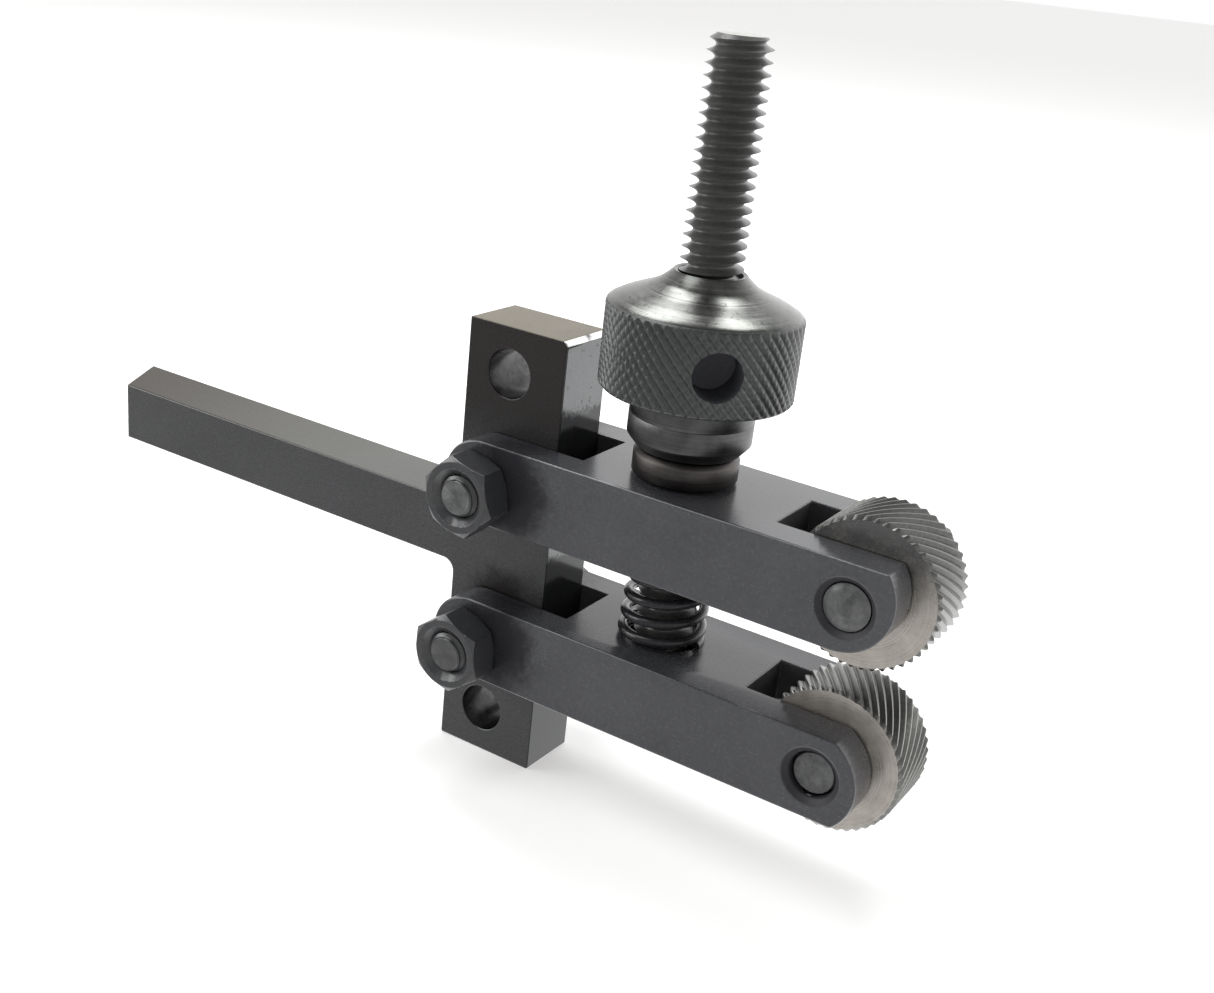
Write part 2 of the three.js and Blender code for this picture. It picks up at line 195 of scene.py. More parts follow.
def prism(name, outline, low, high, axis="z"):
    """A flat outline given thickness along Z, or along Y where it is drawn in X and Z."""
    count = len(outline)
    if axis == "z":
        verts = [(u, v, w) for w in (low, high) for u, v in outline]
    else:
        verts = [(u, w, v) for w in (low, high) for u, v in outline]
    faces = [tuple(range(count)), tuple(range(count, 2 * count))]
    faces += [(i, (i + 1) % count, count + (i + 1) % count, count + i) for i in range(count)]
    return tidy_mesh(new_object(name, verts, faces))


def arc(cx, cy, radius, start, stop, steps):
    """Points along an arc, its angles in degrees."""
    turn = np.radians(np.linspace(start, stop, steps + 1))
    return [(cx + radius * math.cos(a), cy + radius * math.sin(a)) for a in turn]


def cuboid(name, x, y, z):
    return prism(name, [(x[0], y[0]), (x[1], y[0]), (x[1], y[1]), (x[0], y[1])], *z)


def trim_ends(obj, low, high):
    """Cuts obj off flat at two heights, in millimetres, and closes it there."""
    bm = bmesh.new()
    bm.from_mesh(obj.data)
    for height, way in ((low * MM, -1), (high * MM, 1)):
        geometry = bm.verts[:] + bm.edges[:] + bm.faces[:]
        bmesh.ops.bisect_plane(bm, geom=geometry, plane_co=(0, 0, height),
                               plane_no=(0, 0, way), clear_outer=True, dist=1e-9)
        rim = [e for e in bm.edges if e.is_boundary
               and all(abs(v.co.z - height) < PLANE_SLACK for v in e.verts)]
        bmesh.ops.holes_fill(bm, edges=rim, sides=0)
    bmesh.ops.recalc_face_normals(bm, faces=bm.faces)
    bm.to_mesh(obj.data)
    bm.free()
    return obj


def bake(obj):
    """Gives obj the mesh that its modifiers make, and takes the modifiers off."""
    bpy.context.view_layer.update()
    graph = bpy.context.evaluated_depsgraph_get()
    made = bpy.data.meshes.new_from_object(obj.evaluated_get(graph))
    old = obj.data
    obj.modifiers.clear()
    obj.data = made
    made.name = obj.name
    bpy.data.meshes.remove(old)
    return obj


def combine(obj, others, operation="DIFFERENCE"):
    """Cuts the others out of obj, or joins or crosses them with it; the others go."""
    for other in others:
        mod = obj.modifiers.new("cut", "BOOLEAN")
        mod.operation = operation
        mod.solver = "EXACT"
        mod.object = other
    bake(obj)
    for other in others:
        bpy.data.objects.remove(other)
    return obj


def tint_faces(obj, index):
    """Every face of obj takes that material slot."""
    obj.data.polygons.foreach_set("material_index", [index] * len(obj.data.polygons))
    return obj


def finish_edges(obj, width, angle=34, clamp=False):
    """Rounds edges sharper than angle over by width, and puts the rounding in material
    slot 1.  clamp narrows it where it would run into itself."""
    obj.data.polygons.foreach_set("use_smooth", [True] * len(obj.data.polygons))
    mod = obj.modifiers.new("edges", "BEVEL")
    mod.width = width * MM
    mod.segments = 2
    mod.limit_method = "ANGLE"
    mod.angle_limit = math.radians(angle)
    mod.material = 1
    mod.harden_normals = True
    mod.use_clamp_overlap = clamp
    return bake(obj)


def shade(obj, angle=32):
    """Smooth shading that breaks at edges sharper than angle."""
    obj.data.polygons.foreach_set("use_smooth", [True] * len(obj.data.polygons))
    obj.data.set_sharp_from_angle(angle=math.radians(angle))
    return obj


def dress(obj, materials, body, node):
    """The piece's looks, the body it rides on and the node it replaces."""
    for mat in materials:
        obj.data.materials.append(mat)
    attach(obj, body)
    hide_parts(node)
    return obj


# ---------------- materials
SHADOW_SPOT_RAGGED = 3.5        # how far a painted shadow spot's border wanders
RING_LEAN = 0.83        # lathe rings go on along the axis at this share of their spacing


def shader(name):
    mat = bpy.data.materials.new(name)
    mat.use_nodes = True
    tree = mat.node_tree
    bsdf = next(n for n in tree.nodes if n.type == "BSDF_PRINCIPLED")
    return mat, tree, bsdf


def add(tree, kind, **values):
    """A new node.  A value goes to the input of its name, or is linked to it where it is a
    socket.  i0 and i1 are the first two inputs, and other names are the node's settings."""
    node = tree.nodes.new(kind)
    for key, value in values.items():
        if key in ("i0", "i1"):
            target = node.inputs[int(key[1])]
        else:
            target = node.inputs.get(key)
        if target is None:
            setattr(node, key, value)
        elif isinstance(value, bpy.types.NodeSocket):
            tree.links.new(value, target)
        else:
            target.default_value = value
    return node


def stretched(tree, scale=(1.0, 1.0, 1.0)):
    """The piece's own coordinates, in metres times scale."""
    coords = add(tree, "ShaderNodeTexCoord")
    mapping = add(tree, "ShaderNodeMapping", Vector=coords.outputs["Object"])
    mapping.inputs["Scale"].default_value = scale
    return mapping.outputs["Vector"]


def noise(tree, vector, scale, detail=4.0, roughness=0.6):
    node = add(tree, "ShaderNodeTexNoise", Vector=vector, Scale=scale, Detail=detail)
    node.inputs["Roughness"].default_value = roughness
    return node.outputs["Fac"]


def rgba(colour):
    """A colour with full cover, from a grey level or from three numbers."""
    level = (colour,) * 3 if isinstance(colour, (int, float)) else tuple(colour)
    return (*level, 1.0)


def ramp(tree, value, stops):
    """A colour ramp; stops are (place, colour) with colour a number or three numbers."""
    node = add(tree, "ShaderNodeValToRGB", Fac=value)
    elements = node.color_ramp.elements
    while len(elements) < len(stops):
        elements.new(0.5)
    for element, (where, colour) in zip(elements, stops):
        element.position = where
        element.color = rgba(colour)
    return node.outputs["Color"]


def mixed(tree, factor, a, b, mode="MIX"):
    """Colour a turned into colour b by factor; inputs 6 and 7 are the node's colours."""
    node = add(tree, "ShaderNodeMix", data_type="RGBA", blend_type=mode, i0=factor)
    for value, target in ((a, node.inputs[6]), (b, node.inputs[7])):
        if isinstance(value, bpy.types.NodeSocket):
            tree.links.new(value, target)
        else:
            target.default_value = rgba(value)
    return node.outputs[2]


def math_node(tree, operation, a, b=0.0):
    return add(tree, "ShaderNodeMath", operation=operation, i0=a, i1=b).outputs[0]


def bump(tree, height, strength, distance_mm):
    node = add(tree, "ShaderNodeBump", Height=height, Strength=strength)
    node.inputs["Distance"].default_value = distance_mm * MM
    return node.outputs["Normal"]


def own_axes(tree):
    """The piece's own coordinates in metres, and the node that parts them."""
    coords = add(tree, "ShaderNodeTexCoord").outputs["Object"]
    return coords, add(tree, "ShaderNodeSeparateXYZ", Vector=coords)


def wander(tree, coords, scale, most):
    """A soft noise of as much as most millimetres either way."""
    uneven = math_node(tree, "SUBTRACT", noise(tree, coords, scale, 4.0, 0.8), 0.5)
    return math_node(tree, "MULTIPLY", uneven, 2 * most * MM)


def smooth_step(tree, value, start, stop):
    """0 at start, 1 at stop, both in millimetres."""
    span = add(tree, "ShaderNodeMapRange", interpolation_type="SMOOTHSTEP", Value=value)
    span.inputs["From Min"].default_value = start * MM
    span.inputs["From Max"].default_value = stop * MM
    return span.outputs["Result"]


def distance(tree, offsets):
    """How far a point is, in metres, from a place: two pairs of a coordinate and where
    the place lies along it, in millimetres."""
    squares = [math_node(tree, "POWER", math_node(tree, "SUBTRACT", along, at * MM), 2.0)
               for along, at in offsets]
    return math_node(tree, "SQRT", math_node(tree, "ADD", *squares))


def axis_mask(tree, axis, start, stop, ragged):
    """0 to 1 along one of the piece's own axes, between two places in millimetres, the
    border wandering by as much as ragged millimetres."""
    coords, parts = own_axes(tree)
    value = math_node(tree, "ADD", parts.outputs[axis], wander(tree, coords, 700.0, ragged))
    return smooth_step(tree, value, start, stop)


def shadow_spot_mask(tree, spots, inner, outer):
    """Painted shade in round spots: 1 within inner of a spot, 0 beyond outer; a spot is (x, z)
    in the piece's own millimetres."""
    coords, parts = own_axes(tree)
    border = wander(tree, coords, 260.0, SHADOW_SPOT_RAGGED)
    total = 0.0
    for x, z in spots:
        away = distance(tree, ((parts.outputs["X"], x), (parts.outputs["Z"], z)))
        share = smooth_step(tree, math_node(tree, "ADD", away, border), outer, inner)
        total = math_node(tree, "MAXIMUM", share, total)
    return total


def darkening_cover(tree, darkening):
    """Where the darkening lies: to one side of a border, less its clear bands, and round spots of
    painted shade.
    """
    cover = 0.0
    if "axis" in darkening:
        cover = axis_mask(tree, darkening["axis"], darkening["start"], darkening["stop"], darkening["ragged"])
    if "spots" in darkening:
        spot_shade = shadow_spot_mask(tree, darkening["spots"], darkening["inner"], darkening["outer"])
        cover = math_node(tree, "MAXIMUM", spot_shade, cover)
    for low, high in darkening.get("clear", []):
        above = axis_mask(tree, darkening["axis"], low, low + 1, darkening["ragged"])
        below = axis_mask(tree, darkening["axis"], high, high - 1, darkening["ragged"])
        inside = math_node(tree, "MULTIPLY", above, below)
        cover = math_node(tree, "MULTIPLY", cover, math_node(tree, "SUBTRACT", 1.0, inside))
    return cover


def steel(name, dark, light, rough, mottle=(1900.0, 0.62), grain=0.16, marks=0.09,
          marks_along=(40.0, 900.0, 900.0), speck=None, metallic=0.1, ior=1.8, darkening=None,
          lacquer=0.0):
    """Ground or oxidised steel: two close tones in soft mottles (their scale and share),
    fine grinding marks that run one way, a little grain, specks, a darkening that also lowers the
    sheen (painted shade where a material says so), and lacquer."""
    mat, tree, bsdf = shader(name)
    plain = stretched(tree)
    blotch = noise(tree, plain, 90.0, 3.0)
    fine = noise(tree, plain, mottle[0], 5.0, 0.75)
    tone = mixed(tree, mottle[1], blotch, fine)
    colour = ramp(tree, tone, [(0.34, dark), (0.66, light)])
    if speck:
        dots = noise(tree, plain, speck["scale"], 2.0, 0.5)
        mask = ramp(tree, dots, [(speck["from"], 0.0), (speck["from"] + 0.03, 1.0)])
        colour = mixed(tree, mask, colour, speck["colour"])
    if darkening:
        cover = darkening_cover(tree, darkening)
        colour = mixed(tree, cover, colour, darkening["colour"])
        sheen = add(tree, "ShaderNodeMapRange", Value=cover)
        sheen.inputs["To Min"].default_value = 0.5
        sheen.inputs["To Max"].default_value = darkening["sheen"]
        tree.links.new(sheen.outputs["Result"], bsdf.inputs["Specular IOR Level"])
    tree.links.new(colour, bsdf.inputs["Base Color"])
    lines = noise(tree, stretched(tree, marks_along), 6.0, 6.0, 0.75)
    spread = ramp(tree, mixed(tree, 0.5, lines, fine),
                  [(0.3, rough - 0.05), (0.7, rough + 0.07)])
    tree.links.new(spread, bsdf.inputs["Roughness"])
    surface = math_node(tree, "ADD", math_node(tree, "MULTIPLY", lines, marks),
                        math_node(tree, "MULTIPLY", fine, grain))
    tree.links.new(bump(tree, surface, 0.35, 0.05), bsdf.inputs["Normal"])
    bsdf.inputs["Metallic"].default_value = metallic
    bsdf.inputs["IOR"].default_value = ior
    bsdf.inputs["Coat Weight"].default_value = lacquer
    bsdf.inputs["Coat Roughness"].default_value = 0.06
    return mat


def worn(name, bare, oxide, rough, cover):
    """An edge rubbed bright in patches, with oxide left over the share cover of it."""
    mat, tree, bsdf = shader(name)
    patches = noise(tree, stretched(tree), 260.0, 4.0, 0.65)
    mask = ramp(tree, patches, [(cover - 0.09, 1.0), (cover + 0.09, 0.0)])
    tree.links.new(mixed(tree, mask, oxide, bare), bsdf.inputs["Base Color"])
    bsdf.inputs["Roughness"].default_value = rough
    bsdf.inputs["Metallic"].default_value = 1.0
    return mat


def lathe_rings(tree, axis, rings_per_mm):
    """Noise in rings about the screw's axis, or about whichever knurl pin is nearer."""
    _, parts = own_axes(tree)
    if axis == "Z":
        across = ((parts.outputs["X"], SCREW.x), (parts.outputs["Y"], 0.0))
        along = parts.outputs["Z"]
    else:
        middle = (AXLE["upper"].z + AXLE["lower"].z) / 2
        side = math_node(tree, "SUBTRACT", parts.outputs["Z"], middle * MM)
        across = ((parts.outputs["X"], AXLE["upper"].x),
                  (math_node(tree, "ABSOLUTE", side), AXLE["upper"].z - middle))
        along = parts.outputs["Y"]
    path = math_node(tree, "ADD", distance(tree, across),
                     math_node(tree, "MULTIPLY", along, RING_LEAN))
    rings = add(tree, "ShaderNodeTexNoise", noise_dimensions="1D", Detail=5.0,
                Scale=rings_per_mm, W=math_node(tree, "DIVIDE", path, MM))
    rings.inputs["Roughness"].default_value = 0.8
    return rings.outputs["Fac"]


def lathe_marked(name, dark, light, rough, axis="Z", rings=5.5, aniso=0.6, speck=0.0,
                 ring_depth=0.3, metallic=1.0, painted_shadow=None):
    """Steel turned on a lathe: fine rings, soft clouds, a few specks, and a painted shadow
    darkening one side of a ragged border."""
    mat, tree, bsdf = shader(name)
    ring = lathe_rings(tree, axis, rings)
    cloud = noise(tree, stretched(tree), 350.0, 4.0)
    tone = mixed(tree, 0.45, ring, cloud)
    colour = ramp(tree, tone, [(0.36, dark), (0.64, light)])
    if speck:
        dots = noise(tree, stretched(tree), 1500.0, 2.0)
        colour = mixed(tree, ramp(tree, dots, [(0.62, 0.0), (0.68, speck)]), colour, 0.02)
    if painted_shadow:
        colour = mixed(tree, darkening_cover(tree, painted_shadow), colour, painted_shadow["colour"])
    tree.links.new(colour, bsdf.inputs["Base Color"])
    spread = ramp(tree, tone, [(0.3, rough - 0.06), (0.7, rough + 0.1)])
    tree.links.new(spread, bsdf.inputs["Roughness"])
    tree.links.new(bump(tree, ring, ring_depth, 0.02), bsdf.inputs["Normal"])
    bsdf.inputs["Metallic"].default_value = metallic
    if aniso:
        bsdf.inputs["Anisotropic"].default_value = aniso
        tangent = add(tree, "ShaderNodeTangent", direction_type="RADIAL", axis=axis)
        tree.links.new(tangent.outputs["Tangent"], bsdf.inputs["Tangent"])
    return mat


# Painted shadow: round dark spots, a little less glossy, on the arms' faces just in front of each
# pivot nut stand in for the nuts' cast shadows.
NUT_SHADOW_SPOTS = [(PIVOT[side].x + 4.8, PIVOT[side].z + 1.4) for side in SIDES]
OXIDE = steel("black_oxide_ground", (0.040, 0.041, 0.047), (0.069, 0.071, 0.078), 0.24,
              grain=0.13, darkening={"spots": NUT_SHADOW_SPOTS, "inner": 4.4, "outer": 9.0, "sheen": 0.12,
                                "colour": (0.022, 0.022, 0.026)})
# Painted shade on the holder: darker from about 13 mm up to 27 mm and above, and in a round spot
# beside the lower pivot.
OXIDE_HEAD = steel("black_oxide_head", (0.028, 0.0285, 0.030), (0.048, 0.049, 0.052), 0.27,
                   darkening={"axis": "Z", "start": 13, "stop": 27, "sheen": 0.2, "ragged": 3,
                         "spots": [(PIVOT["lower"].x + 1.5, -3.0)], "inner": 2.5, "outer": 6.4,
                         "colour": (0.019, 0.017, 0.016)})
# The front face is darker below about 26.4 mm, except in a band from about 4.6 to 10 mm.
HEAD_FRONT = steel("ground_front", (0.07, 0.073, 0.077), (0.12, 0.123, 0.127), 0.13,
                   metallic=0.4,
                   darkening={"axis": "Z", "start": 27.4, "stop": 26.4, "sheen": 0.2, "ragged": 3,
                         "clear": [(4.6, 10.0)], "colour": (0.026, 0.027, 0.029)},
                   speck={"scale": 800.0, "from": 0.66, "colour": (0.01, 0.01, 0.01)})
TOP_FILM = steel("browned_top", (0.075, 0.058, 0.028), (0.145, 0.118, 0.072), 0.34, ior=1.45,
                 speck={"scale": 900.0, "from": 0.68, "colour": (0.03, 0.02, 0.015)})
# Painted sheen fall-off: the shank's top turns browner and less glossy towards its rear end; the
# brown tint is the shank's own, and the fading sheen stands in for how the light falls.
SHANK_TOP_PAINTED_SHEEN = steel("shank_top", (0.038, 0.040, 0.032), (0.062, 0.066, 0.055), 0.28,
                        ior=1.55, darkening={"axis": "X", "start": 38, "stop": -34, "ragged": 3,
                                        "sheen": 0.08, "colour": (0.038, 0.031, 0.023)})
OXIDE_EDGE = worn("oxide_edge_worn", (0.92, 0.91, 0.89), (0.17, 0.17, 0.175), 0.36, 0.56)
BARE = worn("rubbed_bare", (0.90, 0.90, 0.89), (0.12, 0.12, 0.12), 0.3, 0.56)
BORE = steel("bored_steel", (0.014, 0.014, 0.015), (0.085, 0.085, 0.088), 0.22, marks=0.6,
             marks_along=(900.0, 60.0, 900.0), mottle=(420.0, 0.8), metallic=0.9)
# Painted shade: the pin holes' mouths and bores, seen as a ring round each pin, are darker than
# the arm.
PIN_HOLE_SHADE = steel("dark_mouth", (0.022, 0.022, 0.026), (0.04, 0.04, 0.046), 0.5, ior=1.4)
SLOT_WALL = steel("slot_wall", (0.055, 0.056, 0.060), (0.085, 0.086, 0.092), 0.45, ior=1.5,
                  marks=0.3)
DEEP = steel("deep_bore", (0.07, 0.072, 0.082), (0.11, 0.112, 0.125), 0.5, ior=1.4, marks=0.2)
FASTENER = steel("oxide_fastener", (0.025, 0.027, 0.029), (0.052, 0.053, 0.056), 0.3,
                 metallic=0.2)
FASTENER_EDGE = worn("fastener_edge", (0.92, 0.92, 0.92), (0.32, 0.32, 0.325), 0.36, 0.58)
BOLT_END = steel("bolt_end", (0.07, 0.073, 0.075), (0.22, 0.222, 0.225), 0.36, grain=1.0,
                 mottle=(600.0, 0.85), metallic=0.6)
BOLT_END_DULL = steel("bolt_end_dull", (0.035, 0.037, 0.036), (0.085, 0.088, 0.086), 0.42,
                      grain=0.7, mottle=(600.0, 0.8), metallic=0.3)
THREAD = steel("thread_oxide", (0.065, 0.066, 0.064), (0.12, 0.121, 0.116), 0.33, metallic=0.3)
CREST = worn("thread_crest", (0.55, 0.55, 0.53), (0.12, 0.12, 0.12), 0.34, 0.52)
SCREW_END = steel("screw_end", (0.34, 0.35, 0.32), (0.56, 0.57, 0.53), 0.45, grain=0.5,
                  metallic=0.8)
PIN_STEEL = steel("pin_steel", (0.055, 0.057, 0.058), (0.17, 0.172, 0.174), 0.36, grain=0.8,
                  mottle=(700.0, 0.8), metallic=0.5)
NUT_CONE = lathe_marked("turned_bright", (0.075, 0.078, 0.075), (0.17, 0.174, 0.163), 0.2,
                        aniso=0.75, speck=0.5)
NUT_SPIGOT = lathe_marked("turned_dark", (0.075, 0.075, 0.078), (0.18, 0.18, 0.18), 0.36,
                          rings=6.05)
NUT_KNURL = steel("knurled_band", (0.024, 0.027, 0.026), (0.052, 0.057, 0.053), 0.34,
                  grain=0.4, metallic=0.3)
WASHER = lathe_marked("washer_brown", (0.060, 0.055, 0.054), (0.13, 0.121, 0.115), 0.42,
                      rings=4.95, aniso=0.3)
SIDE = {"dark": (0.56, 0.515, 0.46), "light": (0.95, 0.89, 0.82), "axis": "Y", "aniso": 0.3,
        "ring_depth": 0.07, "metallic": 0.9}
WHEEL_SIDE = lathe_marked("wheel_side", rough=0.3, **SIDE)
# Painted shadow: the upper wheel's side darkens from about 15 mm up to 25 mm and above, where the
# arm shades it.
WHEEL_SIDE_SHADOWED = lathe_marked("wheel_side_painted_shadow", rough=0.28, **SIDE, painted_shadow={
    "axis": "Z", "start": 15, "stop": 25, "ragged": 6, "colour": 0.2})
WHEEL_TEETH = steel("wheel_teeth", (0.085, 0.085, 0.081), (0.17, 0.17, 0.163), 0.34, grain=0.3,
                    metallic=0.8)
# Painted light: a lighter copy of the teeth material, put on the lower wheel.
LOWER_TEETH_PAINTED_LIGHT = steel("wheel_teeth_painted_light", (0.16, 0.16, 0.152), (0.30, 0.30, 0.286), 0.33,
                     grain=0.3, metallic=0.8)
SPRING_STEEL = steel("spring_black", (0.016, 0.014, 0.017), (0.030, 0.028, 0.031), 0.26,
                     grain=0.04, ior=1.32, lacquer=0.45)


# ---------------- holder
def through_hole(radius, ends):
    """A cutter along Z, as long above as below."""
    return turned("cut", [(0, -ends), (radius, -ends), (radius, ends), (0, ends)], 64)


def build_holder():
    """A square shank and an upright head with four cross holes, the shank cut at a slant."""
    low, high = box_mm("holder_body")
    front = high.x
    rear = front - HEAD_LENGTH
    half = high.y
    f = SHANK_FILLET
    side = [(rear, low.z), (front, low.z), (front, high.z - HEAD_CHAMFER),
            (front - HEAD_CHAMFER, high.z), (rear, high.z)]
    side += arc(rear - f, SHANK_TOP + f, f, 0, -90, 12)
    side += [(low.x, SHANK_TOP), (low.x, 0.0)]
    side += arc(rear - f, -f, f, 90, 0, 12)
    body = prism("holder", side, -half, half, axis="y")
    tint_faces(body, 0)
    ends = half + OVER
    slope = SHANK_SLANT * OVER / (2 * half)
    end = low.x + TRIM
    corner = [(end + SHANK_SLANT + slope, -ends), (end - slope, ends), (low.x - 9, ends),
              (low.x - 9, -ends)]
    offcut = tint_faces(prism("offcut", corner, -OVER, SHANK_TOP + OVER), 0)
    bores = []
    for z in (*SPARE_HOLES, PIVOT["upper"].z, PIVOT["lower"].z):
        bore = through_hole(PIVOT_HOLE_R, ends)
        move(bore, place(PIVOT["upper"].x, 0, z) @ Z_TO_Y)
        bores.append(tint_faces(bore, 2))
    combine(body, [offcut] + bores)
    finish_edges(body, EDGE["holder"])
    looks = [OXIDE_HEAD, OXIDE_EDGE, BORE, HEAD_FRONT, TOP_FILM, SHANK_TOP_PAINTED_SHEEN, BARE]
    for face in body.data.polygons:
        if face.material_index:
            continue
        if face.normal.x > 0.5 and face.normal.z > 0.5:
            face.material_index = looks.index(BARE)
        elif face.normal.x > 0.7:
            face.material_index = looks.index(HEAD_FRONT)
        elif face.normal.z > 0.7:
            on_head = face.center.z > (SHANK_TOP + 10) * MM
            face.material_index = looks.index(TOP_FILM if on_head else SHANK_TOP_PAINTED_SHEEN)
    return dress(body, looks, "holder", "holder_body")


# ---------------- arms
def arm_frame(which):
    """From an arm's own frame to its place.  Its own X starts over the pivot, and its own
    Z at the bar's middle, going up on the upper arm and down on the lower one."""
    turn = Matrix.Identity(4) if which == "upper" else Matrix.Rotation(math.pi, 4, "X")
    return place(PIVOT[which].x, 0, ARM_Z[which]) @ turn


def obround(shift, radius, stretch):
    """A slot's outline about the screw, in an arm's own frame."""
    x = SCREW_REACH + shift
    return (arc(x + stretch / 2, 0, radius, -90, 90, 24)
            + arc(x - stretch / 2, 0, radius, 90, 270, 24))


def build_arm(which):
    """A bar with round ends, slotted at both, with its holes and the screw's slot."""
    hand = 1 if which == "upper" else -1
    rise, nose_x, pin_x = NOSE_RISE[which], NOSE_REACH[which] - NOSE_R, PIN_REACH[which]
    inner, outer = (math.degrees(math.asin((z - rise) / NOSE_R)) for z in (-HALF_ARM, HALF_ARM))
    side = arc(0, 0, HALF_ARM, 90, 270, 40) + arc(nose_x, rise, NOSE_R, inner, outer, 40)
    body = tint_faces(prism(f"{which}_arm_bar", side, -HALF_WIDTH, HALF_WIDTH, axis="y"), 0)
    above, ends = HALF_ARM + OVER, HALF_WIDTH + OVER
    tall = (-above, above)
    rear, front = REAR_SLOT[0] / 2, FRONT_SLOT / 2
    slots = [
        cuboid("cut", (-above, REAR_SLOT[1]), (-rear, rear), tall),
        cuboid("cut", (SLOT_START[which], NOSE_REACH[which] + OVER), (-front, front), tall),
    ]
    sink_r, sink_depth = PIN_SINK
    mouth = [(PIN_HOLE_R, HALF_WIDTH - sink_depth), (sink_r - 0.25, HALF_WIDTH - 0.25),
             (sink_r, HALF_WIDTH), (sink_r, ends), (0, ends)]
    pin_hole = turned("cut", [(r, -h) for r, h in reversed(mouth)] + mouth, 64)
    grub = turned("cut", [(0, 0), (GRUB["hole"], 0), (GRUB["hole"], above), (0, above)], 32)
    pivot_drop = abs(PIVOT[which].z - ARM_Z[which]) * hand
    holes = [
        prism("cut", obround(*SCREW_SLOT), *tall),
        move(through_hole(PIVOT_HOLE_R, ends), place(0, 0, -pivot_drop) @ Z_TO_Y),
        move(pin_hole, place(pin_x, 0, 0) @ Z_TO_Y),
        move(grub, place(pin_x, GRUB["y"], 0)),
    ]
    if which == "lower":
        radius, stretch, depth = COUNTERBORE
        pocket = obround(SCREW_SLOT[0], radius, stretch)
        holes.append(prism("cut", pocket, HALF_ARM - depth, above))
    for hole in holes:
        tint_faces(hole, 0)
    tint_faces(pin_hole, 2)
    for slot in slots:
        tint_faces(slot, 3)
    combine(body, slots + holes)
    finish_edges(body, EDGE["arm"])
    move(body, arm_frame(which))
    return dress(body, [OXIDE, OXIDE_EDGE, PIN_HOLE_SHADE, SLOT_WALL], f"{which}_arm", f"{which}_arm")


# ---------------- pivot fasteners
HEX_NUT = {"flats": 10.3, "bore": 3.06, "mouth": 4.15, "chamfer": 0.62}
BOLT = {"thread": 3.0, "pitch": 1.0, "depth": 0.6, "shoulder": 3.44, "flats": 10.0,
        "head": 4.0, "chamfer": 0.62}
BOLT_WASHER = {"bore": 3.6, "outer": 6.0}


def hexagon(across_flats, turn=0.0):
    radius = across_flats / math.sqrt(3)
    return [(radius * math.cos(math.radians(turn + 60 * i)),
             radius * math.sin(math.radians(turn + 60 * i))) for i in range(6)]


def build_pivot_nut(which):
    """A hexagon nut with chamfered corners and a dished bore, its outer end near."""
    low, high = box_mm(f"{which}_pivot_nut")
    flats, chamfer, thick = HEX_NUT["flats"], HEX_NUT["chamfer"], high.y - low.y
    corner = flats / math.sqrt(3) + 0.1
    nut = prism("nut", hexagon(flats, NUT_TURN[which]), 0, thick)
    cone = turned("cone", [(0, 0), (flats / 2 - 0.1, 0), (corner, chamfer),
                           (corner, thick - chamfer), (flats / 2 - 0.1, thick), (0, thick)])
    combine(nut, [cone], "INTERSECT")
    inner, mouth = HEX_NUT["bore"], HEX_NUT["mouth"]
    bore = turned("bore", [(0, -OVER), (inner, -OVER), (inner, thick - 1.0),
                           (mouth - 0.1, thick - 0.1), (mouth, thick), (mouth, thick + OVER),
                           (0, thick + OVER)], 64)
    combine(nut, [bore])
    tint_faces(nut, 0)
    finish_edges(nut, EDGE["fastener"], angle=26)
    move(nut, place(PIVOT[which].x, high.y, PIVOT[which].z) @ Z_TO_NEAR)
    nut.name = f"{which}_hex_nut"
    return dress(nut, [FASTENER, FASTENER_EDGE], f"{which}_arm", f"{which}_pivot_nut")


def threaded_rod(name, crest, z0, z1, pitch, depth, steps=48, rows=10):
    """A closed rod along Z with a helical thread of sharp crests and round roots."""
    start = z0 - 2 * pitch
    turns = math.ceil((z1 - z0) / pitch) + 4
    columns = turns * steps
    verts = []
    for i in range(columns + 1):
        angle = TAU * i / steps
        for j in range(rows):
            away = abs(2 * j / rows - 1)
            radius = crest - depth * (1 - away ** 1.9)
            height = start + pitch * (i / steps + j / rows)
            verts.append((radius * math.cos(angle), radius * math.sin(angle), height))
    faces = []
    for i in range(columns):
        for j in range(rows - 1):
            a, b = i * rows + j, (i + 1) * rows + j
            faces.append((a, b, b + 1, a + 1))
        if i + 1 + steps <= columns:
            a, b = i * rows + rows - 1, (i + 1) * rows + rows - 1
            faces.append((a, b, (i + 1 + steps) * rows, (i + steps) * rows))
    return trim_ends(new_object(name, verts, faces), z0, z1)


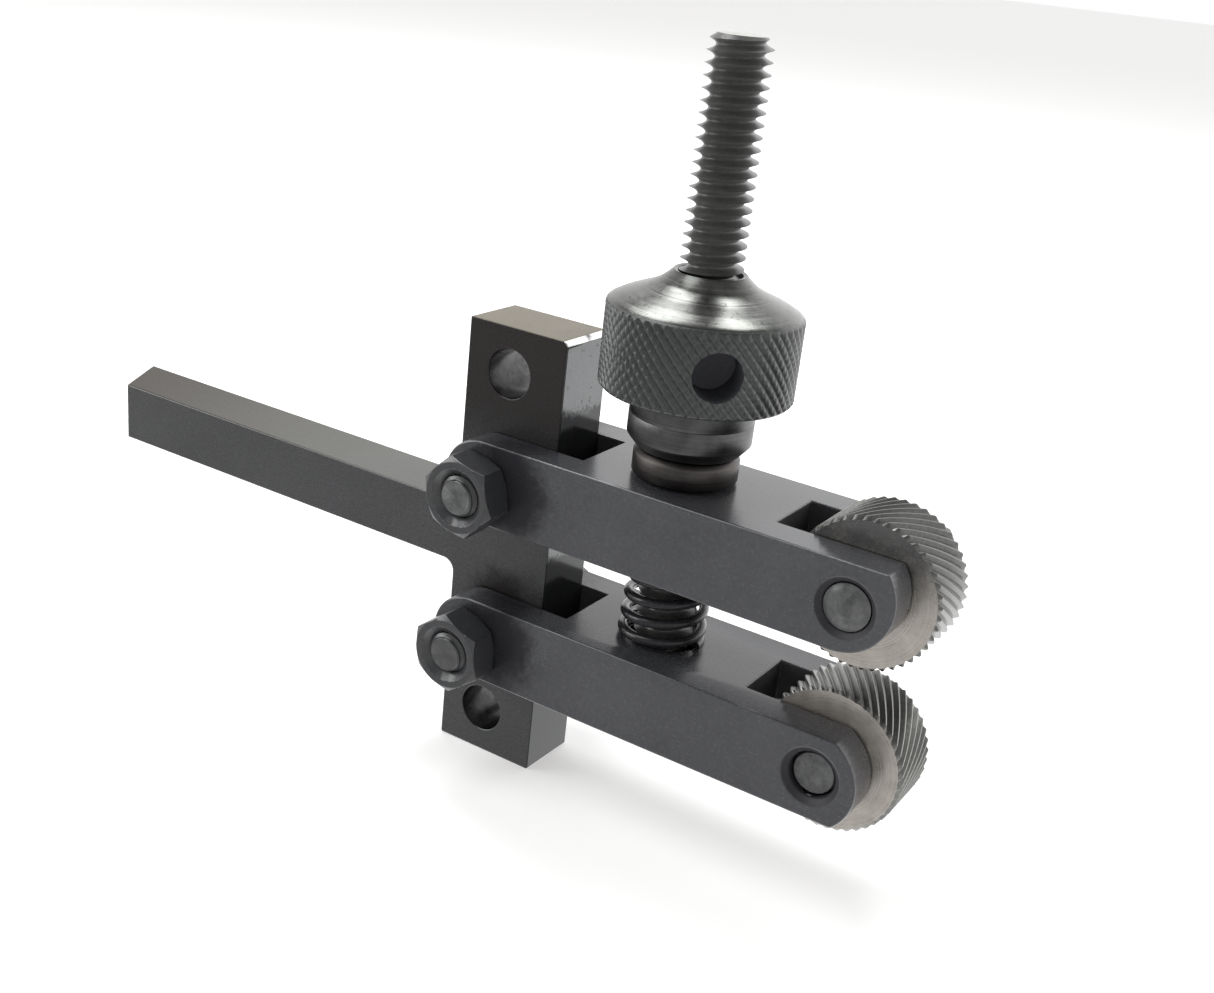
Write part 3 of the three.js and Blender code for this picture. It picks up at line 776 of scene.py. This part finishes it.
def build_pivot_bolt(which):
    """A shoulder bolt: thread on the near side, plain through the arm, head on the far."""
    low, high = box_mm(f"{which}_pivot_bolt")
    head_from = high.y - BOLT["head"]
    near = -HALF_WIDTH
    crest, body, flats = BOLT["thread"], BOLT["shoulder"], BOLT["flats"]
    rod = threaded_rod("rod", crest, low.y, near + 0.4, BOLT["pitch"], BOLT["depth"],
                       steps=32, rows=8)
    tip = turned("tip", [(0, low.y), (crest - 0.65, low.y), (crest + 0.05, low.y + 0.7),
                         (crest + 0.05, near + OVER), (0, near + OVER)], 64)
    combine(rod, [tip], "INTERSECT")
    shoulder = turned("shoulder", [(0, near + 0.3), (body, near + 0.3),
                                   (body, head_from + OVER), (0, head_from + OVER)], 64)
    corner = flats / math.sqrt(3) + 0.1
    head = prism("head", hexagon(flats, 12), head_from, high.y)
    dome = turned("dome", [(0, head_from), (corner, head_from),
                           (corner, high.y - BOLT["chamfer"]), (flats / 2 - 0.1, high.y),
                           (4.2, high.y), (3.9, high.y - 0.12), (0, high.y - 0.12)])
    combine(head, [dome], "INTERSECT")
    finish_edges(head, EDGE["fastener"], angle=22, clamp=True)
    combine(rod, [shoulder, head], "UNION")
    for face in rod.data.polygons:
        if face.center.z < (low.y + 0.05) * MM:
            face.material_index = 2
    move(rod, place(PIVOT[which].x, 0, PIVOT[which].z) @ Z_TO_Y)
    shade(rod)
    rod.name = f"{which}_shoulder_bolt"
    end = BOLT_END if which == "upper" else BOLT_END_DULL
    return dress(rod, [FASTENER, FASTENER_EDGE, end], f"{which}_arm",
                 f"{which}_pivot_bolt")


def build_pivot_washer(which):
    low, high = box_mm(f"{which}_pivot_washer")
    bore, outer = BOLT_WASHER["bore"], BOLT_WASHER["outer"]
    ring = [(bore, low.y), (outer - 0.15, low.y), (outer, low.y + 0.15),
            (outer, high.y - 0.3), (outer - 0.3, high.y), (bore + 0.15, high.y),
            (bore, high.y - 0.15), (bore, low.y)]
    washer = turned(f"{which}_bolt_washer", ring)
    move(washer, place(PIVOT[which].x, 0, PIVOT[which].z) @ Z_TO_Y)
    return dress(shade(washer), [FASTENER], f"{which}_arm", f"{which}_pivot_washer")


# ---------------- knurl wheels and pins
WHEEL = {"tip": 10.2, "depth": 0.55, "teeth": 44, "helix": 33.0, "bore": 3.2, "rim": 0.4,
         "face": 9.1, "break": 0.35}
# One tooth: places round the wheel as shares of the spacing, and dips as shares of depth.
TOOTH = ((0.0, 0.0), (0.07, 0.0), (0.30, 0.55), (0.46, 1.0), (0.54, 1.0), (0.70, 0.55),
         (0.93, 0.0))


def build_wheel(which):
    """A helical knurl with chamfered rims, flat sides and a plain bore."""
    low, high = box_mm(f"{which}_knurl_wheel")
    half = (high.y - low.y) / 2
    hand = 1 if which == "upper" else -1
    tip, teeth, rim = WHEEL["tip"], WHEEL["teeth"], WHEEL["rim"]
    bore, face, edge = WHEEL["bore"], WHEEL["face"], WHEEL["break"]
    twist = hand * math.tan(math.radians(WHEEL["helix"])) / tip
    heights = [-half, *np.linspace(-half + rim, half - rim, 9), half]
    rings = [(tip - max(0.0, rim - (half - abs(h))) * 1.2, h) for h in heights]
    rings += [(face, half), (bore + edge, half), (bore, half - edge), (bore, -half + edge),
              (bore + edge, -half), (face, -half)]
    verts = []
    for limit, h in rings:
        for tooth in range(teeth):
            for share, dip in TOOTH:
                angle = TAU * (tooth + share) / teeth + twist * h
                radius = min(tip - dip * WHEEL["depth"], limit)
                verts.append((radius * math.cos(angle), radius * math.sin(angle), h))
    columns = teeth * len(TOOTH)
    wheel = new_object(f"{which}_knurl", verts, ring_faces(len(rings), columns))
    toothed = len(heights) - 1
    tones = np.repeat([0] * toothed + [1] * (len(rings) - toothed), columns)
    wheel.data.polygons.foreach_set("material_index", tones.tolist())
    tidy_mesh(wheel)
    move(wheel, place(AXLE[which].x, 0, AXLE[which].z) @ Z_TO_Y)
    shade(wheel, 25)
    looks = {"upper": [WHEEL_TEETH, WHEEL_SIDE_SHADOWED], "lower": [LOWER_TEETH_PAINTED_LIGHT, WHEEL_SIDE]}[which]
    return dress(wheel, looks, f"{which}_knurl", f"{which}_knurl_wheel")


def build_pin(which):
    """A plain pin; the upper one's near end is domed."""
    low, high = box_mm(f"{which}_knurl_pin")
    radius = (high.x - low.x) / 2
    edge = 0.35
    start = [(0, low.y), (radius - edge, low.y)]
    if which == "upper":
        dome_r, reach, proud = 7.5, 2.6, 0.15
        stop = math.degrees(math.asin(reach / dome_r)) - 90
        dome = arc(0, low.y + dome_r - proud, dome_r, -90, stop, 8)
        start = [(0, dome[0][1])] + dome[1:] + [(radius - 0.15, dome[-1][1] + 0.2)]
    profile = start + [(radius, low.y + edge + 0.2), (radius, high.y - edge),
                       (radius - edge, high.y), (0, high.y)]
    pin = turned(f"{which}_wheel_pin", profile, 64)
    move(pin, place(AXLE[which].x, 0, AXLE[which].z) @ Z_TO_Y)
    return dress(shade(pin, 40), [PIN_STEEL], f"{which}_arm", f"{which}_knurl_pin")


def build_grub(which):
    low, high = box_mm(f"{which}_pin_grub_screw")
    length = high.z - low.z
    radius, top = GRUB["radius"], HALF_ARM - 0.2
    bottom = top - length
    screw = turned(f"{which}_grub_screw", [
        (0, bottom), (radius - 0.3, bottom), (radius, bottom + 0.3), (radius, top - 0.2),
        (radius - 0.2, top), (0, top)], 48)
    combine(screw, [prism("socket", hexagon(GRUB["flats"]), top - 1.2, top + OVER)])
    tint_faces(screw, 0)
    finish_edges(screw, EDGE["grub"], clamp=True)
    move(screw, arm_frame(which) @ place(PIN_REACH[which], GRUB["y"], 0))
    return dress(screw, [FASTENER, FASTENER_EDGE], f"{which}_arm",
                 f"{which}_pin_grub_screw")


# ---------------- clamp screw and nut
THREAD_ROD = {"crest": 4.2, "pitch": 1.5, "depth": 1.2, "chamfer": 1.05, "worn": 0.19,
              "head": 5.0, "head_r": 6.5, "flats": 5.0, "socket": 3.0}


def build_clamp_screw():
    """A screw threaded all the way, with rubbed crests and a low socket head below."""
    low, high = box_mm("clamp_screw")
    crest, chamfer = THREAD_ROD["crest"], THREAD_ROD["chamfer"]
    radius, head_top = THREAD_ROD["head_r"], low.z + THREAD_ROD["head"]
    rod = threaded_rod("rod", crest, head_top - 0.5, high.z, THREAD_ROD["pitch"],
                       THREAD_ROD["depth"])
    tip = turned("tip", [(0, low.z + 1), (crest + 1, low.z + 1), (crest + 1, high.z - chamfer),
                         (crest + 0.02, high.z - chamfer), (crest - chamfer, high.z),
                         (0, high.z)])
    combine(rod, [tip], "INTERSECT")
    for face in rod.data.polygons:
        x, y, z = face.center / MM
        rubbed = math.hypot(x, y) > crest - THREAD_ROD["worn"]
        face.material_index = 2 if z > high.z - 0.02 else int(rubbed)
    block = turned("head", [(0, low.z), (radius - 0.4, low.z), (radius, low.z + 0.4),
                            (radius, head_top - 0.25), (radius - 0.25, head_top),
                            (0, head_top)])
    combine(block, [prism("socket", hexagon(THREAD_ROD["flats"]), low.z - OVER,
                          low.z + THREAD_ROD["socket"])])
    tint_faces(block, 0)
    combine(rod, [block], "UNION")
    move(rod, place(SCREW.x, 0, 0))
    shade(rod)
    rod.name = "threaded_clamp_screw"
    return dress(rod, [THREAD, CREST, SCREW_END], "clamp_screw", "clamp_screw")


def build_screw_washers():
    """The thin seat washer above the head, and the turned one with a stepped rim that the
    nut presses on."""
    low, high = box_mm("seat_washer")
    ring = [(4.3, low.z), (6.4, low.z), (6.5, low.z + 0.1), (6.5, high.z - 0.1),
            (6.4, high.z), (4.3, high.z), (4.3, low.z)]
    seat = shade(move(turned("screw_seat_washer", ring), place(SCREW.x, 0, 0)))
    dress(seat, [FASTENER], "clamp_screw", "seat_washer")
    low, high = box_mm("thrust_washer")
    edge = (high.x - low.x) / 2
    ring = [(4.3, low.z), (edge - 0.12, low.z), (edge, low.z + 0.12), (edge, high.z - 0.75),
            (edge - 0.12, high.z - 0.6), (edge - 0.55, high.z - 0.12),
            (edge - 0.75, high.z), (4.5, high.z), (4.3, high.z - 0.2), (4.3, low.z)]
    thrust = shade(move(turned("nut_thrust_washer", ring, 160), place(SCREW.x, 0, 0)), 50)
    dress(thrust, [WASHER], "thrust_washer", "thrust_washer")


NUT = {"bore": 4.25, "foot": 7.2, "spigot": 8.4, "band": 13.0, "band_low": 7.8,
       "band_high": 19.0, "edge": 0.4}
# The top's rounded cone, as (radius, height) above the nut's foot.
CONE = ((12.62, 19.2), (12.0, 19.55), (11.0, 20.08), (10.0, 20.5), (9.0, 20.9), (8.0, 21.32),
            (7.0, 21.82), (6.2, 22.35), (5.5, 22.95), (4.95, 23.5), (4.75, 23.7))
KNURL = {"lines": 54, "angle": 42.0, "depth": 0.34, "cross_depth": 0.13, "samples": 10,
         "rows": 56}
TOMMY = {"radius": 3.25, "depth": 6.2, "point": 1.2, "azimuth": 39.0}


def knurl_dip(angle, height):
    """How far a diamond knurl dips below the band's surface: one hand cuts deeper."""
    lean = math.tan(math.radians(KNURL["angle"])) / NUT["band"]
    pitch = KNURL["lines"] / TAU

    def groove(phase, share):
        away = np.abs(2 * (phase % 1.0) - 1)
        return np.clip((away - (1 - share)) / share, 0, 1)

    main = groove((angle + lean * height) * pitch, 0.62)
    cross = groove((angle - lean * height) * pitch, 0.5)
    return np.maximum(KNURL["depth"] * main, KNURL["cross_depth"] * cross)


def build_adjusting_nut():
    """Rings of points from the foot up to the cone: each is (radius, height, material),
    and the knurl dips into those of material 0."""
    low, _ = box_mm("adjusting_nut")
    bore, foot, spigot, band = (NUT[key] for key in ("bore", "foot", "spigot", "band"))
    lo_z, hi_z, edge = NUT["band_low"], NUT["band_high"], NUT["edge"]
    plain = [(bore, 0.3), (bore + 0.3, 0.0), (foot - 0.1, 0.0), (foot, 0.1),
             (spigot - 0.1, 1.42), (spigot, 1.6), (spigot, 4.4), (spigot - 0.07, 4.5),
             (spigot, 4.62), (spigot, lo_z - 0.4), (spigot + 0.4, lo_z),
             (band - edge - 0.15, lo_z)]
    rows = [(*point, 1) for point in plain]
    for h in np.linspace(lo_z + 0.02, hi_z, KNURL["rows"]):
        end = max(0.0, edge - (h - lo_z)) + 0.7 * max(0.0, edge * 0.6 - (hi_z - h))
        rows.append((band - end, h, 0))
    rows += [(*point, 2) for point in (*CONE, (bore, CONE[-1][1] - 0.1))]
    columns = KNURL["lines"] * KNURL["samples"]
    angle = np.arange(columns) * TAU / columns
    verts = []
    for radius, height, tone in rows:
        ring = np.full(columns, radius)
        if tone == 0:
            fade = min(1.0, (height - lo_z) / edge, (hi_z + 0.1 - height) / (edge * 0.5))
            ring = np.minimum(ring, band - knurl_dip(angle, height) * max(fade, 0.15))
        verts.append(np.stack([ring * np.cos(angle), ring * np.sin(angle),
                               np.full(columns, height)], 1))
    nut = new_object("knurled_adjusting_nut", np.concatenate(verts),
                     ring_faces(len(rows), columns))
    tones = np.repeat([row[2] for row in rows[:-1]] + [1], columns)
    nut.data.polygons.foreach_set("material_index", tones.tolist())
    tidy_mesh(nut)
    radius, deep = TOMMY["radius"], band - TOMMY["depth"]
    hole = turned("hole", [(0, deep - TOMMY["point"]), (radius, deep), (radius, band + 2),
                           (0, band + 2)], 64)
    turn = Matrix.Rotation(math.radians(TOMMY["azimuth"]), 4, "Z")
    move(hole, place(0, 0, (lo_z + hi_z) / 2) @ turn @ Z_TO_NEAR)
    tint_faces(hole, 3)
    combine(nut, [hole])
    move(nut, place(SCREW.x, 0, low.z))
    shade(nut, 40)
    return dress(nut, [NUT_KNURL, NUT_SPIGOT, NUT_CONE, DEEP], "adjusting_nut",
                 "adjusting_nut")


# ---------------- spring
# Radius at the top and foot, and the foot's lean, down the screw; closed and active turns.
SPRING = {"top": 5.2, "foot": 5.55, "lean": 0.3, "wire": 0.72, "closed": 0.9, "active": 3.1,
          "steps": 40, "sides": 14, "gap": 0.03}
LEAN_WAY = np.array([-0.863, -0.506, 0.0])


def coil(low, high):
    """The spring's corners and faces: close turns at both ends, open ones between."""
    wire, sides, closed, active = (SPRING[k] for k in ("wire", "sides", "closed", "active"))
    turns = 2 * closed + active
    rise_closed = closed * 2 * wire * 1.04
    rise_active = (high - low) - 2 * rise_closed - 0.5 * wire
    heights = (0.0, rise_closed, rise_closed + rise_active, 2 * rise_closed + rise_active)
    stations = int(turns * SPRING["steps"])
    verts = []
    for i in range(stations + 1):
        t = turns * i / stations
        z = low + 0.25 * wire + np.interp(t, (0.0, closed, closed + active, turns), heights)
        out = np.array([math.cos(TAU * t), math.sin(TAU * t), 0.0])
        down = (high - z) / (high - low)
        radius = SPRING["top"] + (SPRING["foot"] - SPRING["top"]) * down
        centre = out * radius + LEAN_WAY * SPRING["lean"] * down + (0.0, 0.0, z)
        for k in range(sides):
            a = TAU * k / sides
            verts.append(centre + wire * (math.cos(a) * out + (0.0, 0.0, math.sin(a))))
    faces = ring_faces(stations + 1, sides, closed=False)
    faces += [tuple(range(sides)), tuple(range(stations * sides, (stations + 1) * sides))]
    return verts, faces


def build_spring():
    """A closed-and-ground compression spring, in two halves that meet half way up, each reaching
    to the arm that it presses on."""
    low = ARM_Z["lower"] + HALF_ARM + SPRING["gap"]
    high = ARM_Z["upper"] - HALF_ARM - SPRING["gap"]
    middle = (low + high) / 2
    verts, faces = coil(low, high)
    for which, end in (("lower", low), ("upper", high)):
        half = new_object(f"spring_{which}_half", verts, faces)
        trim_ends(half, min(middle, end), max(middle, end))
        move(half, place(SCREW.x, 0, 0))
        shade(half, 40)
        half.data.materials.append(SPRING_STEEL)
        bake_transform(half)
        if which == "lower":
            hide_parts("spring")


# ---------------- camera
# Degrees, and millimetres from the frame's origin; the lens is in sensor millimetres.
CAMERA = {"azimuth": 30.40, "elevation": 21.30, "roll": 6.45, "distance": 239.78,
          "right": 53.44, "up": 3.04, "lens": 43.448, "sensor": 36.0}


def build_camera():
    """Looks along azimuth and elevation, moved across the view and then rolled."""
    azimuth, elevation, roll = (math.radians(CAMERA[k]) for k in ("azimuth", "elevation", "roll"))
    back = Vector((math.sin(azimuth) * math.cos(elevation),
                   -math.cos(azimuth) * math.cos(elevation), math.sin(elevation)))
    right = Vector((0, 0, 1)).cross(back).normalized()
    up = back.cross(right)
    spot = back * CAMERA["distance"] + right * CAMERA["right"] + up * CAMERA["up"]
    turn = Matrix.Rotation(roll, 3, back)
    data = bpy.data.cameras.new("camera")
    data.sensor_width = CAMERA["sensor"]
    data.lens = CAMERA["lens"]
    data.clip_start, data.clip_end = 0.01, 50.0
    camera = bpy.data.objects.new("camera", data)
    bpy.context.scene.collection.objects.link(camera)
    axes = Matrix((turn @ right, turn @ up, back)).transposed()
    camera.matrix_world = place(*spot) @ axes.to_4x4()
    bpy.context.scene.camera = camera


# ---------------- stage and light
BEHIND = (-0.506, 0.863, 0.0)
TO_RIGHT = (0.863, 0.506, 0.0)
WORLD_STRENGTH = 1.65
FLOOR = {"half": 6.0, "colour": 0.86, "glow": (1.0, 0.985, 0.97, 1), "strength": 0.36}
WALL = {"radius": 5.9, "top": 6.0, "sides": 64, "sunk": 0.001}
AIM = Vector((0.07, 0, 0.03))
# Where each lamp is, seen from AIM at one metre, its width in metres and its power.
LAMPS = {"left_lamp": ((-0.47, 0.27, 0.84), 0.34, 3.5),
         "right_lamp": ((-0.03, 0.48, 0.88), 0.26, 2.2),
         "front_lamp": ((-0.48, -0.33, 0.82), 0.55, 3.6),
         "window": ((-0.82, -0.50, 0.28), 0.5, 3.0)}


def build_floor():
    """A pale floor that takes shadows, and that glossy parts don't mirror."""
    half = FLOOR["half"]
    corners = [(-half, -half), (half, -half), (half, half), (-half, half)]
    floor = new_object("floor", [(x, y, FLOOR_Z) for x, y in corners], [(0, 1, 2, 3)],
                       scale=1.0)
    mat, _, bsdf = shader("pale_floor")
    bsdf.inputs["Base Color"].default_value = rgba(FLOOR["colour"])
    bsdf.inputs["Roughness"].default_value = 0.9
    bsdf.inputs["Specular IOR Level"].default_value = 0.2
    bsdf.inputs["Emission Color"].default_value = FLOOR["glow"]
    bsdf.inputs["Emission Strength"].default_value = FLOOR["strength"]
    floor.data.materials.append(mat)
    floor.visible_glossy = False


def build_backdrop():
    """A white wall all round with a lid, seen by the camera alone."""
    n = WALL["sides"]
    ring = [(WALL["radius"] * math.cos(a), WALL["radius"] * math.sin(a))
            for a in np.arange(n) * TAU / n]
    verts = [(x, y, z) for z in (FLOOR_Z - WALL["sunk"], WALL["top"]) for x, y in ring]
    faces = [(i, (i + 1) % n, n + (i + 1) % n, n + i) for i in range(n)]
    wall = new_object("backdrop", verts, faces + [tuple(range(n, 2 * n))], scale=1.0)
    mat = bpy.data.materials.new("white_backdrop")
    mat.use_nodes = True
    tree = mat.node_tree
    tree.nodes.clear()
    glow = add(tree, "ShaderNodeEmission", Color=(1, 1, 1, 1), Strength=1.0)
    add(tree, "ShaderNodeOutputMaterial", Surface=glow.outputs[0])
    wall.data.materials.append(mat)
    for ray in ("diffuse", "glossy", "transmission", "volume_scatter", "shadow"):
        setattr(wall, f"visible_{ray}", False)


def build_world():
    """Soft studio surround: brighter behind, to the right and low down, dim overhead."""
    world = bpy.data.worlds.new("studio")
    world.use_nodes = True
    tree = world.node_tree
    tree.nodes.clear()
    coords = add(tree, "ShaderNodeTexCoord").outputs["Generated"]

    def level(way, stops):
        """A ramp from 0, straight away from way, to 1, straight towards it."""
        facing = add(tree, "ShaderNodeVectorMath", operation="DOT_PRODUCT", i0=coords)
        facing.inputs[1].default_value = way
        half = math_node(tree, "MULTIPLY", facing.outputs["Value"], 0.5)
        return ramp(tree, math_node(tree, "ADD", half, 0.5), stops)

    around = level(BEHIND, [(0.0, 0.50), (0.28, 0.58), (0.5, 0.8), (0.7, 1.3), (1.0, 1.45)])
    height = level((0, 0, 1), [(0.0, 1.9), (0.08, 1.6), (0.2, 0.9), (0.7, 1.0),
                               (0.86, 0.35), (1.0, 0.32)])
    side = level(TO_RIGHT, [(0.0, 0.42), (0.5, 0.60), (0.8, 0.88), (1.0, 1.0)])
    shape = mixed(tree, 1.0, around, height, "MULTIPLY")
    glow = add(tree, "ShaderNodeBackground", Strength=WORLD_STRENGTH,
               Color=mixed(tree, 1.0, shape, side, "MULTIPLY"))
    add(tree, "ShaderNodeOutputWorld", Surface=glow.outputs[0])
    bpy.context.scene.world = world


def build_lamps():
    """Two square lamps high behind the object, one in front and a window on the left."""
    for name, (way, size, power) in LAMPS.items():
        data = bpy.data.lights.new(name, "AREA")
        data.shape = "SQUARE"
        data.size = size
        data.energy = power
        lamp = bpy.data.objects.new(name, data)
        bpy.context.scene.collection.objects.link(lamp)
        towards = Vector(way).normalized()
        lamp.location = AIM + towards
        lamp.rotation_mode = "QUATERNION"
        lamp.rotation_quaternion = (-towards).to_track_quat("-Z", "Y")


build_camera()
build_holder()
for side_name in SIDES:
    build_arm(side_name)
    build_pivot_bolt(side_name)
    build_pivot_washer(side_name)
    build_pivot_nut(side_name)
    build_wheel(side_name)
    build_pin(side_name)
    build_grub(side_name)
build_clamp_screw()
build_screw_washers()
build_adjusting_nut()
build_spring()
build_floor()
build_backdrop()
build_world()
build_lamps()

bpy.context.scene.view_settings.view_transform = "Standard"
